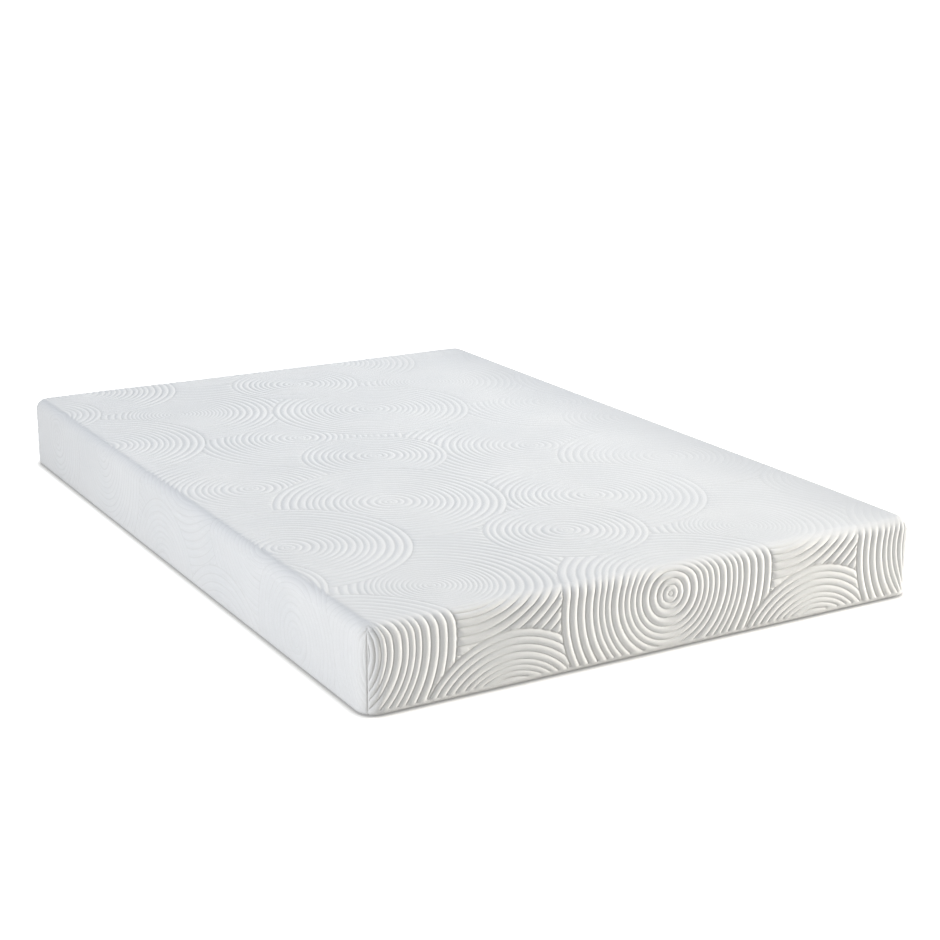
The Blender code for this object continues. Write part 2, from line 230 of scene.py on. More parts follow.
class Surface:
    """A material with one Principled shader, and short calls to add the nodes that drive it."""

    def __init__(self, name, colour, roughness, **constants):
        self.material = bpy.data.materials.new(name)
        self.material.use_nodes = True
        self.tree = self.material.node_tree
        self.shader = self.tree.nodes["Principled BSDF"]
        self.shader.inputs["Base Color"].default_value = (*colour, 1.0)
        self.shader.inputs["Roughness"].default_value = roughness
        for socket, value in constants.items():
            self.shader.inputs[socket.replace("_", " ")].default_value = value
        self.place = self.add("ShaderNodeTexCoord").outputs["Object"]

    def add(self, kind, settings=None, **inputs):
        node = self.tree.nodes.new(kind)
        for key, value in (settings or {}).items():
            setattr(node, key, value)
        for key, value in inputs.items():
            socket = node.inputs[int(key[1:]) if key[1:].isdigit() else key.replace("_", " ")]
            if isinstance(value, bpy.types.NodeSocket):
                self.tree.links.new(value, socket)
            else:
                socket.default_value = value
        return node

    def noise(self, scale, detail=2.0, roughness=0.5):
        node = self.add(
            "ShaderNodeTexNoise", Vector=self.place, Scale=scale, Detail=detail, Roughness=roughness
        )
        return node.outputs["Fac"]

    def cells(self, scale, randomness=1.0):
        node = self.add(
            "ShaderNodeTexVoronoi", Vector=self.place, Scale=scale, Randomness=randomness
        )
        return node.outputs["Distance"]

    def ramp(self, value, stops):
        node = self.add("ShaderNodeValToRGB", Fac=value)
        elements = node.color_ramp.elements
        while len(elements) < len(stops):
            elements.new(0.5)
        for element, (position, colour) in zip(elements, stops):
            element.position = position
            element.color = (*colour, 1.0)
        return node.outputs["Color"]

    def mix(self, amount, first, second, blend="MIX"):
        node = self.add("ShaderNodeMix", {"data_type": "RGBA", "blend_type": blend}, _0=amount)
        for index, value in ((6, first), (7, second)):
            if isinstance(value, bpy.types.NodeSocket):
                self.tree.links.new(value, node.inputs[index])
            else:
                node.inputs[index].default_value = (*value, 1.0)
        return node.outputs[2]

    def maths(self, operation, first, second=0.0):
        return self.add("ShaderNodeMath", {"operation": operation}, _0=first, _1=second).outputs[0]

    def stripes(self, along, pitch):
        return self.maths("SINE", self.maths("MULTIPLY", along, 2 * math.pi / pitch))

    def axis(self, name):
        return self.add("ShaderNodeSeparateXYZ", Vector=self.place).outputs[name]

    def colour_from(self, socket):
        self.tree.links.new(socket, self.shader.inputs["Base Color"])

    def roughness_from(self, value, low, high):
        node = self.add("ShaderNodeMapRange", Value=value, To_Min=low, To_Max=high)
        self.tree.links.new(node.outputs["Result"], self.shader.inputs["Roughness"])

    def bump(self, height, distance, strength=1.0):
        """Adds a layer of relief on top of any that is there already."""
        before = self.shader.inputs["Normal"].links
        inputs = {"Height": height, "Distance": distance, "Strength": strength}
        if before:
            inputs["Normal"] = before[0].from_socket
        node = self.add("ShaderNodeBump", **inputs)
        self.tree.links.new(node.outputs["Normal"], self.shader.inputs["Normal"])


def make_cover_knit():
    """White double jersey: pebbled stitches, and painted shade, with a little tint of tighter yarn,
    down in the valleys between the puffs.
    """
    knit = Surface(
        "cover_knit", (0.83, 0.84, 0.85), 0.88,
        Sheen_Weight=0.03, Sheen_Roughness=0.6, Specular_IOR_Level=0.06,
    )
    stitches = knit.cells(720.0, 0.45)
    cloudy = knit.noise(5.0, 3.0)
    yarn = knit.ramp(cloudy, [(0.3, (0.815, 0.825, 0.835)), (0.7, (0.850, 0.855, 0.860))])
    slub = knit.ramp(stitches, [(0.0, (1.0, 1.0, 1.0)), (0.8, (0.90, 0.90, 0.90))])
    speckled = knit.mix(1.0, yarn, slub, "MULTIPLY")
    # Painted shade, with a little tint of tighter yarn, in the valleys, round the discs and down the
    # corner seams: it mixes the knit toward a dark warm grey.
    valley_tint_and_shade = knit.add("ShaderNodeAttribute", {"attribute_name": "valley_tint_and_shade"}).outputs["Fac"]
    tint_and_shade_mix = knit.maths("MULTIPLY", valley_tint_and_shade, 0.26)
    knit.colour_from(knit.mix(tint_and_shade_mix, speckled, (0.40, 0.385, 0.36)))
    knit.roughness_from(stitches, 0.80, 0.95)
    knit.bump(stitches, 0.00035, 0.5)
    knit.bump(knit.noise(260.0, 2.0), 0.0003, 0.35)
    return knit.material


def make_bottom_knit():
    """Plain fine jersey, a little greyer than the cover."""
    knit = Surface("bottom_knit", (0.78, 0.78, 0.77), 0.92, Sheen_Weight=0.08)
    loops = knit.cells(900.0, 0.3)
    tone = knit.ramp(knit.noise(7.0, 3.0), [(0.3, (0.76, 0.76, 0.75)), (0.7, (0.81, 0.81, 0.80))])
    dots = knit.ramp(loops, [(0.0, (1.0, 1.0, 1.0)), (0.8, (0.86, 0.86, 0.86))])
    knit.colour_from(knit.mix(1.0, tone, dots, "MULTIPLY"))
    knit.roughness_from(loops, 0.85, 0.97)
    knit.bump(loops, 0.0003, 0.6)
    return knit.material


def make_thread(name, colour):
    """Twisted polyester thread."""
    thread = Surface(name, colour, 0.7, Sheen_Weight=0.2)
    twist = thread.noise(2600.0, 1.0)
    darker = tuple(channel * 0.82 for channel in colour)
    thread.colour_from(thread.ramp(twist, [(0.35, darker), (0.65, colour)]))
    thread.roughness_from(twist, 0.6, 0.85)
    thread.bump(twist, 0.0001, 0.6)
    return thread.material


def make_barrier_knit():
    """Thin ribbed sock of undyed fibre."""
    knit = Surface("barrier_knit", (0.84, 0.82, 0.76), 0.95)
    ribs = knit.stripes(knit.maths("ADD", knit.axis("X"), knit.axis("Z")), 0.0032)
    tone = knit.ramp(knit.noise(9.0, 4.0), [(0.3, (0.80, 0.78, 0.71)), (0.7, (0.87, 0.85, 0.79))])
    fibres = knit.noise(500.0, 4.0, 0.7)
    flecks = knit.ramp(fibres, [(0.3, (0.88, 0.87, 0.85)), (0.6, (1.0, 1.0, 1.0))])
    knit.colour_from(knit.mix(1.0, tone, flecks, "MULTIPLY"))
    knit.roughness_from(fibres, 0.88, 1.0)
    knit.bump(ribs, 0.0004, 0.5)
    knit.bump(fibres, 0.0002, 0.4)
    return knit.material


def make_foam(name, colour, cell_scale, depth):
    """Open-cell foam: small pits between the cells with painted shade in them, and a slow change of
    tone.
    """
    foam = Surface(name, colour, 0.97)
    pits = foam.cells(cell_scale, 1.0)
    fine = foam.cells(cell_scale * 2.7, 1.0)
    paler = tuple(min(1.0, channel * 1.05) for channel in colour)
    darker = tuple(channel * 0.93 for channel in colour)
    tone = foam.ramp(foam.noise(6.0, 3.0), [(0.3, darker), (0.7, paler)])
    # Painted shade: darker in the pits between the cells.
    pit_shade = foam.ramp(pits, [(0.0, (0.78, 0.77, 0.75)), (0.35, (1.0, 1.0, 1.0))])
    foam.colour_from(foam.mix(0.8, tone, pit_shade, "MULTIPLY"))
    foam.roughness_from(pits, 0.9, 1.0)
    foam.bump(pits, depth, 0.6)
    foam.bump(fine, depth * 0.4, 0.5)
    return foam.material


def make_woven_tape(name, colour):
    """Herringbone weave: warp and weft that lean one way and then the other, with painted shade in the
    grooves between the raised yarns.
    """
    tape = Surface(name, colour, 0.8, Sheen_Weight=0.1)
    side = tape.maths("PINGPONG", tape.axis("Z"), 0.0022)
    weft = tape.stripes(tape.maths("ADD", tape.axis("X"), side), 0.0011)
    lifted = tape.maths("MULTIPLY", tape.maths("ADD", weft, 1.0), 0.5)
    darker = tuple(channel * 0.84 for channel in colour)
    # Painted shade: darker where the weave's relief is low.
    tape.colour_from(tape.ramp(lifted, [(0.1, darker), (0.6, colour)]))
    tape.roughness_from(lifted, 0.72, 0.9)
    tape.bump(lifted, 0.00012, 0.7)
    return tape.material


def make_coil():
    """Polyester monofilament, smooth and slightly glossy."""
    coil = Surface("zip_coil", (0.84, 0.84, 0.83), 0.35, Coat_Weight=0.1)
    tone = coil.noise(180.0, 2.0)
    coil.colour_from(coil.ramp(tone, [(0.35, (0.79, 0.79, 0.78)), (0.65, (0.87, 0.87, 0.86))]))
    coil.roughness_from(tone, 0.28, 0.45)
    coil.bump(coil.noise(900.0, 1.0), 0.00005, 0.4)
    return coil.material


def make_zip_metal():
    """Nickel-plated zinc, in patches brighter and duller, smoother and rougher, from wear."""
    metal = Surface("zip_metal", (0.62, 0.62, 0.63), 0.28, Metallic=1.0)
    worn = metal.noise(420.0, 4.0, 0.6)
    fine = metal.noise(2200.0, 2.0)
    metal.colour_from(metal.ramp(worn, [(0.3, (0.50, 0.50, 0.51)), (0.65, (0.68, 0.68, 0.68))]))
    metal.roughness_from(worn, 0.20, 0.42)
    metal.bump(fine, 0.00003, 0.35)
    return metal.material


def make_label_tape():
    """Satin ribbon with a fine weft."""
    label = Surface("label_tape", (0.90, 0.90, 0.89), 0.45, Sheen_Weight=0.15)
    weft = label.stripes(label.axis("Z"), 0.0006)
    tone = label.noise(120.0, 2.0)
    label.colour_from(label.ramp(tone, [(0.3, (0.86, 0.86, 0.85)), (0.7, (0.92, 0.92, 0.91))]))
    label.roughness_from(tone, 0.38, 0.55)
    label.bump(weft, 0.00006, 0.5)
    return label.material


# ------------------------------------------------------------------- the pattern of the knit


def smooth_step(value, start, end):
    share = np.clip((value - start) / (end - start), 0.0, 1.0)
    return share * share * (3.0 - 2.0 * share)


def outer_radii(widths):
    return np.concatenate([[0.0], np.cumsum(widths)])


# A large disc's rings: a dot in the middle, then narrow rings with wide ones here and there.
# Smaller discs have the same rings, or the first of them. Fine ones have their own.
LARGE_RINGS, SMALL_RINGS, FINE_RINGS = 17, 12, 21
MIDDLE_SCALE, SMALL_SCALE = 0.83, 1.02
DOT, NARROW_RING, WIDE_RING = 0.0055, 0.0140, 0.0185
FINE_RING, FINE_GAIN = 0.0100, 0.0085


def large_widths():
    """From the middle out, rings 3, 4 and 9 are wide, and so is the band from ring 13 on."""
    ring = np.arange(LARGE_RINGS)
    wide = (ring == 3) | (ring == 4) | (ring == 9) | (ring >= 13)
    widths = np.where(wide, WIDE_RING, NARROW_RING)
    widths[0] = DOT
    return widths


def fine_widths():
    """Even, and wider from about ring 13 on."""
    return FINE_RING + FINE_GAIN * smooth_step(np.arange(FINE_RINGS), 11, 15)


RINGS = {
    "large": outer_radii(large_widths()),
    "middle": outer_radii(large_widths() * MIDDLE_SCALE),
    "small": outer_radii(large_widths()[:SMALL_RINGS] * SMALL_SCALE),
    "fine": outer_radii(fine_widths()),
}

# u, v, kind, layer, layers gained with each column, rows of the repeat it is in.
MOTIF = (
    (0.175, 1.090, "large", 1, 0, 2),
    (0.458, 1.440, "large", 4, 0, 1),
    (0.220, 0.322, "fine", 5, 0, 2),
    (0.320, -0.102, "middle", 10, 2, 1),
    (0.692, 0.122, "large", 11, 2, 2),
    (0.547, 1.197, "small", 15, 0, 1),
    (0.404, 0.845, "large", 29, -2, 2),
    (0.070, 0.668, "large", 30, -2, 2),
    (0.635, 0.482, "small", 40, 0, 2),
)


def lay_out_discs():
    """Every disc that reaches the cloth, as (s, t, kind), from the lowest layer up."""
    found = []
    for u, v, kind, layer, gain, rows in MOTIF:
        for row in range(rows):
            for column in range(-2, 4):
                s = u + column * COLUMN_STEP + row * ROW_STEP[0] - HALF_WIDTH
                t = v + row * ROW_STEP[1] - HEIGHT - HALF_LENGTH
                reach = RINGS[kind][-1]
                if abs(s) < HALF_WIDTH + BORDER + reach and abs(t) < HALF_LENGTH + BORDER + reach:
                    found.append((layer + gain * column, s, t, kind))
    found.sort()
    return [(s, t, kind) for _, s, t, kind in found]


DISCS = lay_out_discs()

# Past a disc's edge its rings can go on where the cloth is bare: so many of them, and so far.
BEYOND = 6
STRAY_RINGS = 0.09
LONG_RINGS = {
    kind: np.concatenate([radii, radii[-1] + (radii[-1] - radii[-2]) * np.arange(1, BEYOND + 1)])
    for kind, radii in RINGS.items()
}


def top_disc(s, t):
    """For each point: the disc on top there, how far its middle is, and how far its edge is.

    Where no disc lies, the rings of the lowest disc nearby go on.
    """
    far = 9.0
    owner, bare_owner = np.full(s.shape, -1), np.full(s.shape, -1)
    away, bare_away = np.zeros(s.shape), np.zeros(s.shape)
    clear, bare_clear = np.full(s.shape, far), np.full(s.shape, far)
    for i, (disc_s, disc_t, kind) in enumerate(DISCS):
        distance = np.hypot(s - disc_s, t - disc_t)
        gap = distance - RINGS[kind][-1]
        inside = gap <= 1e-7
        owner[inside] = i
        away[inside] = distance[inside]
        clear = np.where(inside, far, np.minimum(clear, gap))
        waiting = bare_owner < 0
        takes = waiting & (gap < STRAY_RINGS)
        bare_owner[takes] = i
        bare_away[takes] = distance[takes]
        bare_clear = np.where(takes, bare_clear, np.minimum(bare_clear, gap))
        passed = waiting & ~takes
        bare_clear[passed] = np.minimum(bare_clear, gap - STRAY_RINGS)[passed]
    bare = owner < 0
    owner[bare] = bare_owner[bare]
    away[bare] = bare_away[bare]
    clear[bare] = bare_clear[bare]
    return owner, away, clear


def ring_place(owner, away):
    """Where each point lies across its ring, from 0 to 1, and the ring's width."""
    across = np.zeros(away.shape)
    width = np.full(away.shape, USUAL_RING)
    kinds = np.array([kind for _, _, kind in DISCS])[owner]
    for kind, radii in LONG_RINGS.items():
        here = kinds == kind
        ring = np.clip(np.searchsorted(radii, away[here] + 1e-9) - 1, 0, len(radii) - 2)
        width[here] = radii[ring + 1] - radii[ring]
        across[here] = np.clip((away[here] - radii[ring]) / width[here], 0.0, 1.0)
    return across, width


# ------------------------------------------------------------------ the flat cloth's outline


def slot_distance(s, t):
    """How far a point is outside the zip's slot, which has round ends."""
    middle = HALF_LENGTH + HEIGHT - ZIP_Z
    along = np.maximum(np.abs(s) - (SLOT_HALF_LENGTH - SLOT_HALF_HEIGHT), 0.0)
    return np.hypot(along, t - middle) - SLOT_HALF_HEIGHT


def past_edge(s, t):
    """How far a point is past the top's edge, or, below zero, how far inside it."""
    return np.maximum(np.abs(s) - HALF_WIDTH, np.abs(t) - HALF_LENGTH)


def seam_distance(s, t):
    """How far a point is from the nearest border's end, which is sewn to the next border's."""
    over_s = np.abs(s) - HALF_WIDTH
    over_t = np.abs(t) - HALF_LENGTH
    from_corner = np.hypot(over_s, over_t)
    lower = np.minimum(over_s, over_t)
    upper = np.maximum(over_s, over_t)
    return np.where(upper > 0, np.where(lower <= 0, -lower, -1.0), from_corner)


# The rings' mesh stops so far down the border, where the lines along the bottom bend take over.
# The lines beside a seam lie so far from it.
RING_LIMIT = 0.168
BEND_LINES = (0.1710, 0.1745, 0.1775, 0.1805, 0.1840, 0.1880, 0.1940)
SEAM_LINES = (0.0013, 0.0026, 0.0040)


def room_for_rings(s, t):
    """How far a point is inside the part of the cloth that the rings' own mesh covers."""
    room = np.minimum(seam_distance(s, t) - SEAM_LINES[-1], RING_LIMIT - past_edge(s, t))
    return np.minimum(room, slot_distance(s, t) - SLOT_WELT)


# ------------------------------------------------------------------------- the cover's mesh

# A ring's mesh has loops at these shares of its width, with points a long step apart. Each loop
# ends a small gap before its patch does, after one last point at the foot of the puff.
LOOP_SHARES = (0.0, 0.13, 0.5, 0.87)
LONG_STEP = 0.0140
END_GAP = 0.0008
FOOT_OF_PUFF = 0.003
CLOSEST_POINTS = 0.0014
SMALLEST_LOOP = 0.0015


def ring_loops():
    """Every loop of every disc as arrays: its disc, radius and number of points."""
    rows = []
    for i, (_, _, kind) in enumerate(DISCS):
        radii = LONG_RINGS[kind]
        for ring in range(len(radii) - 1):
            width = radii[ring + 1] - radii[ring]
            for share in LOOP_SHARES:
                radius = radii[ring] + share * width
                if radius > SMALLEST_LOOP:
                    count = max(12, 2 * math.ceil(math.pi * radius / LONG_STEP))
                    rows.append((i, radius, 2 * count))
    return rows


class Loops:
    """All loops' points in one set of arrays, so that each test runs once over all of them."""

    def __init__(self):
        self.rows = ring_loops()
        middles = np.array([(s, t) for s, t, _ in DISCS])
        self.disc = np.array([row[0] for row in self.rows])
        self.radius = np.array([row[1] for row in self.rows])
        self.middle = middles[self.disc]

    def at(self, loop, angle):
        s = self.middle[loop, 0] + self.radius[loop] * np.cos(angle)
        t = self.middle[loop, 1] + self.radius[loop] * np.sin(angle)
        return s, t

    def room(self, loop, angle):
        """How far each point is from the end of its own ring's patch, below zero outside it."""
        s, t = self.at(loop, angle)
        owner, _, clear = top_disc(s, t)
        own = owner == self.disc[loop]
        return np.where(own, np.minimum(clear, room_for_rings(s, t)), -1.0)

    def crossing(self, loop, inside, outside, limit):
        """The angle between two where the room falls to a limit."""
        for _ in range(12):
            middle = (inside + outside) / 2
            good = self.room(loop, middle) >= limit
            inside = np.where(good, middle, inside)
            outside = np.where(good, outside, middle)
        return inside

    def points(self):
        """Points in order along each loop, as (loop, angle, rank), with each stretch's exact ends.

        Off the top's bend, where the cloth is flat, every other point is enough.
        """
        counts = np.array([row[2] for row in self.rows])
        loop = np.repeat(np.arange(len(counts)), counts)
        first = np.cumsum(counts) - counts
        step = np.arange(len(loop)) - first[loop]
        angle = 2 * math.pi * step / counts[loop]
        past = past_edge(*self.at(loop, angle))
        near = past < BORDER
        room = np.full(len(loop), -1.0)
        room[near] = self.room(loop[near], angle[near])

        following = np.where(step + 1 < counts[loop], np.arange(len(loop)) + 1, first[loop])
        angle_step = 2 * math.pi / counts[loop]
        on_bend = np.abs(past) < TOP_RADIUS + 0.004
        usual = (room >= END_GAP) & (on_bend | (step % 2 == 0))
        kept = [(loop[usual], angle[usual], np.zeros(usual.sum(), int))]
        for rank, limit in ((2, END_GAP), (1, FOOT_OF_PUFF)):
            good = room >= limit
            leaving = good & ~good[following]
            entering = ~good & good[following]
            for inside, outside, chosen in (
                (angle, angle + angle_step, leaving),
                (angle + angle_step, angle, entering),
            ):
                found = self.crossing(loop[chosen], inside[chosen], outside[chosen], limit)
                kept.append((loop[chosen], found % (2 * math.pi), np.full(found.shape, rank)))
        loop, angle, rank = (np.concatenate([part[i] for part in kept]) for i in range(3))
        order = np.lexsort((angle, loop))
        return loop[order], angle[order], rank[order]


def thin_close_points(loops, loop, angle, rank):
    """Drops the less important of two points that lie closer together than a stitch."""
    for _ in range(3):
        s, t = loops.at(loop, angle)
        close = (np.hypot(np.diff(s), np.diff(t)) < CLOSEST_POINTS) & (np.diff(loop) == 0)
        drop = np.zeros(len(loop), bool)
        drop[:-1] |= close & (rank[:-1] < rank[1:])
        drop[1:] |= close & (rank[1:] <= rank[:-1])
        loop, angle, rank = loop[~drop], angle[~drop], rank[~drop]
    return loop, angle


def loop_edges(loops, loop, angle):
    """Pairs of neighbours along each loop, where the cloth between them is the loop's own."""
    start = np.searchsorted(loop, loop, side="left")
    end = np.searchsorted(loop, loop, side="right")
    here = np.arange(len(loop))
    following = np.where(here + 1 < end, here + 1, start)
    gap = (angle[following] - angle) % (2 * math.pi)
    short = gap * loops.radius[loop] < 2.3 * LONG_STEP
    short |= (loops.radius[loop] < 0.03) & (gap < 1.2)
    room = loops.room(loop, angle + gap / 2)
    good = short & (room >= 0.4 * END_GAP) & (following != here)
    return np.column_stack([here[good], following[good]])


def run_of_points(start, end, step):
    """Points from start up to but not including end, evenly spaced."""
    start, end = np.array(start), np.array(end)
    count = max(1, round(float(np.linalg.norm(end - start)) / step))
    share = np.arange(count)[:, None] / count
    return start + (end - start) * share


# Steps between points: along the cloth's free edges and the slot, its seams, and its bottom bend.
EDGE_STEP, SEAM_STEP, BEND_STEP = 0.008, 0.004, 0.010


def cloth_outline():
    """The flat cloth's outline as one closed run of points, anticlockwise.

    It is a cross, so each arm has a free edge across its end and a seam down each side.
    """
    w, h, b = HALF_WIDTH, HALF_LENGTH, BORDER
    corners = [
        (-w, -h - b), (w, -h - b), (w, -h), (w + b, -h), (w + b, h), (w, h),
        (w, h + b), (-w, h + b), (-w, h), (-w - b, h), (-w - b, -h), (-w, -h),
    ]
    runs = []
    for i, corner in enumerate(corners):
        following = corners[(i + 1) % len(corners)]
        runs.append(run_of_points(corner, following, SEAM_STEP if i % 3 else EDGE_STEP))
    return np.concatenate(runs)


def slot_outline(offset):
    """The slot's outline at a distance outside it, as one closed run of points, anticlockwise."""
    middle = HALF_LENGTH + HEIGHT - ZIP_Z
    half = SLOT_HALF_LENGTH - SLOT_HALF_HEIGHT
    radius = SLOT_HALF_HEIGHT + offset
    lower = run_of_points((-half, middle - radius), (half, middle - radius), EDGE_STEP)
    upper = run_of_points((half, middle + radius), (-half, middle + radius), EDGE_STEP)
    turn = -math.pi / 2 + math.pi * np.arange(10) / 10
    arc = np.column_stack([np.cos(turn), np.sin(turn)]) * radius
    right = arc + (half, middle)
    left = -arc + (-half, middle)
    return np.concatenate([lower, right, upper, left])


def edge_lines():
    """Lines along the bottom edge, where the cloth bends under, on each border."""
    from_seam = 0.004
    borders = ((HALF_WIDTH, HALF_LENGTH, False), (HALF_LENGTH, HALF_WIDTH, True))
    runs = []
    for past in BEND_LINES:
        for half, other, across in borders:
            for sign in (-1, 1):
                line = sign * (other + past)
                start, end = (-half + from_seam, line), (half - from_seam, line)
                run = run_of_points(start, end, BEND_STEP)
                runs.append(run[:, ::-1] if across else run)
    return runs


def seam_lines():
    """Lines beside each corner seam, which run round its top from one border to the next."""
    runs = []
    for offset in SEAM_LINES:
        down = run_of_points((-offset, BORDER - 0.002), (-offset, 0.0), SEAM_STEP)
        turn = math.pi + math.pi / 2 * np.arange(4) / 4
        round_top = offset * np.column_stack([np.cos(turn), np.sin(turn)])
        across = run_of_points((0.0, -offset), (BORDER, -offset), SEAM_STEP)
        line = np.concatenate([down, round_top, across])
        for sign_s in (-1, 1):
            for sign_t in (-1, 1):
                s = sign_s * (HALF_WIDTH + line[:, 0])
                t = sign_t * (HALF_LENGTH + line[:, 1])
                runs.append(np.column_stack([s, t]))
    return runs


def closed_edges(first, count):
    here = np.arange(count)
    return np.column_stack([here, (here + 1) % count]) + first


def open_edges(first, count):
    here = np.arange(count - 1)
    return np.column_stack([here, here + 1]) + first


def triangulate(points, edges):
    """A constrained triangulation of plane points, as arrays of points and triangles."""
    verts, _, faces, _, _, _ = delaunay_2d_cdt(
        [Vector(p) for p in points.tolist()], [tuple(e) for e in edges.tolist()], [], 1, 1e-6, False
    )
    plane = np.array([tuple(v) for v in verts])
    triangles = np.array(faces)
    middle = plane[triangles].mean(axis=1)
    s, t = middle[:, 0], middle[:, 1]
    on_cloth = (past_edge(s, t) < BORDER) & (seam_distance(s, t) > 0) & (slot_distance(s, t) > 0)
    a, b, c = (plane[triangles[:, i]] for i in range(3))
    area = (b[:, 0] - a[:, 0]) * (c[:, 1] - a[:, 1]) - (b[:, 1] - a[:, 1]) * (c[:, 0] - a[:, 0])
    triangles[area < 0] = triangles[area < 0][:, ::-1]
    return plane, triangles[on_cloth & (np.abs(area) > 1e-12)]


def flat_outer_cloth(outline, slot):
    """The cloth's face, with its mesh along the rings."""
    loops = Loops()
    loop, angle = thin_close_points(loops, *loops.points())
    edges = [loop_edges(loops, loop, angle)]
    points = [np.column_stack(loops.at(loop, angle))]
    count = len(loop)

    def add(run, edges_of):
        nonlocal count
        points.append(run)
        edges.append(edges_of(count, len(run)))
        count += len(run)

    add(outline, closed_edges)
    add(slot, closed_edges)
    for offset in (0.0012, 0.003, STITCH_LINE, SLOT_WELT - 0.0005):
        add(slot_outline(offset), closed_edges)
    for run in edge_lines() + seam_lines():
        add(run, open_edges)
    middles = np.array([(s, t) for s, t, _ in DISCS])
    owner, _, _ = top_disc(*middles.T)
    own = (owner == np.arange(len(DISCS))) & (room_for_rings(*middles.T) > 0)
    points.append(middles[own])
    return triangulate(np.concatenate(points), np.concatenate(edges))


# How far past the top's edge the back's own lines lie, round both of its bends.
BACK_LINES = (
    -0.040, -0.028, -0.019, -0.009, 0.0, 0.009, 0.019, 0.028, 0.060, 0.100,
    0.172, 0.176, 0.180, 0.184, 0.188,
)


def lines_over(half, count):
    """Where the back's lines lie from one border to the opposite one, in order."""
    inset = 0.09
    places = list(np.linspace(-half + inset, half - inset, count))
    places += [sign * (half + past) for past in BACK_LINES for sign in (-1, 1)]
    return np.array(sorted(places))


def flat_inner_cloth(outline, slot):
    """The cloth's back, which only has to follow the folds."""
    runs = [outline, slot]
    edges = [closed_edges(0, len(outline)), closed_edges(len(outline), len(slot))]
    grids = np.meshgrid(lines_over(HALF_WIDTH, 14), lines_over(HALF_LENGTH, 20))
    s, t = (grid.ravel() for grid in grids)
    good = (past_edge(s, t) < BORDER - 0.003) & (seam_distance(s, t) > 0.003)
    good &= slot_distance(s, t) > 0.004
    runs.append(np.column_stack([s[good], t[good]]))
    return triangulate(np.concatenate(runs), np.concatenate(edges))


# ----------------------------------------------------------------------- folding the cloth


def fold(s, t):
    """Places flat points on the mattress. Gives their places and the directions out of the cloth."""
    past = past_edge(s, t)
    quarter = math.pi / 2
    top_turn = np.clip((past + TOP_RADIUS) / (2 * TOP_RADIUS), 0.0, 1.0) * quarter
    bottom_start = HEIGHT - BOTTOM_RADIUS
    bottom_turn = np.clip((past - bottom_start) / (2 * BOTTOM_RADIUS), 0.0, 1.0) * quarter
    inset = np.where(past < -TOP_RADIUS, -past, TOP_RADIUS * (1 - np.sin(top_turn)))
    inset = np.where(past > bottom_start, BOTTOM_RADIUS * (1 - np.cos(bottom_turn)), inset)
    inset = np.where(past > HEIGHT + BOTTOM_RADIUS, past - HEIGHT, inset)
    height = np.where(
        past < TOP_RADIUS, HEIGHT - TOP_RADIUS * (1 - np.cos(top_turn)), HEIGHT - past
    )
    height = np.where(past > bottom_start, BOTTOM_RADIUS * (1 - np.sin(bottom_turn)), height)
    outward = np.where(past > bottom_start, np.cos(bottom_turn), np.sin(top_turn))
    upward = np.where(past > bottom_start, -np.sin(bottom_turn), np.cos(top_turn))

    a = np.clip(np.abs(s) - (HALF_WIDTH - CORNER_RADIUS), 0.0, CORNER_RADIUS)
    b = np.clip(np.abs(t) - (HALF_LENGTH - CORNER_RADIUS), 0.0, CORNER_RADIUS)
    larger = np.maximum(np.maximum(a, b), 1e-12)
    eighth = math.pi / 4
    turn = np.where(a >= b, b / larger * eighth, quarter - a / larger * eighth)
    in_corner = (a > 0) & (b > 0)
    on_side = np.abs(s) - HALF_WIDTH > np.abs(t) - HALF_LENGTH
    plan_x = np.where(in_corner, np.cos(turn), np.where(on_side, 1.0, 0.0))
    plan_y = np.where(in_corner, np.sin(turn), np.where(on_side, 0.0, 1.0))
    reach = CORNER_RADIUS - inset
    x = np.where(on_side, HALF_WIDTH - inset, np.abs(s))
    y = np.where(on_side, np.abs(t), HALF_LENGTH - inset)
    x = np.where(in_corner, HALF_WIDTH - CORNER_RADIUS + reach * plan_x, x)
    y = np.where(in_corner, HALF_LENGTH - CORNER_RADIUS + reach * plan_y, y)
    place = np.column_stack([x * np.sign(s), y * np.sign(t), height])
    out = np.column_stack([plan_x * np.sign(s) * outward, plan_y * np.sign(t) * outward, upward])
    return place, out


def slow_waves(place):
    """The slight unevenness of foam under a stretched cloth, a millimetre or less."""
    x, y, z = place.T
    waves = np.sin(6.1 * x + 1.3) * np.sin(4.7 * y + 0.4)
    waves = waves + 0.6 * np.sin(11.3 * x - 7.9 * y + 2.1) + 0.5 * np.sin(9.2 * y + 14.0 * z)
    return 0.0005 * waves


def puckers(s, t):
    """Small gathers that fan out from the top of each corner seam."""
    corner_s = np.abs(s) - HALF_WIDTH
    corner_t = np.abs(t) - HALF_LENGTH
    away = np.hypot(corner_s, corner_t)
    turn = np.arctan2(corner_t, corner_s)
    reach = smooth_step(away, 0.002, 0.010) * (1 - smooth_step(away, 0.016, 0.045))
    return 0.0010 * np.cos(turn * 8.0) * reach


def puff_size(s, t, past, width):
    """How high each ring's puff is: full on the end borders, lower on the long ones and the top.

    Toward the right the top's puffs fade, and the foot end's begin lower down.
    """
    on_end = np.abs(t) - HALF_LENGTH > np.abs(s) - HALF_WIDTH
    border_share = np.where(on_end, 1.0, LONG_SIDE_PUFF_SHARE)
    fade = (TOP_LEFT_SHARE - TOP_RIGHT_SHARE) * smooth_step(s, -0.15, 0.62)
    top_share = TOP_PUFF_SHARE * (TOP_LEFT_SHARE - fade)
    onset = past - np.where(on_end & (t < 0), ONSET_TILT * s / HALF_WIDTH, 0.0)
    size = PUFF * np.minimum((width / USUAL_RING) ** 1.3, 1.15)
    return size * (top_share + (border_share - top_share) * smooth_step(onset, -0.014, 0.022))


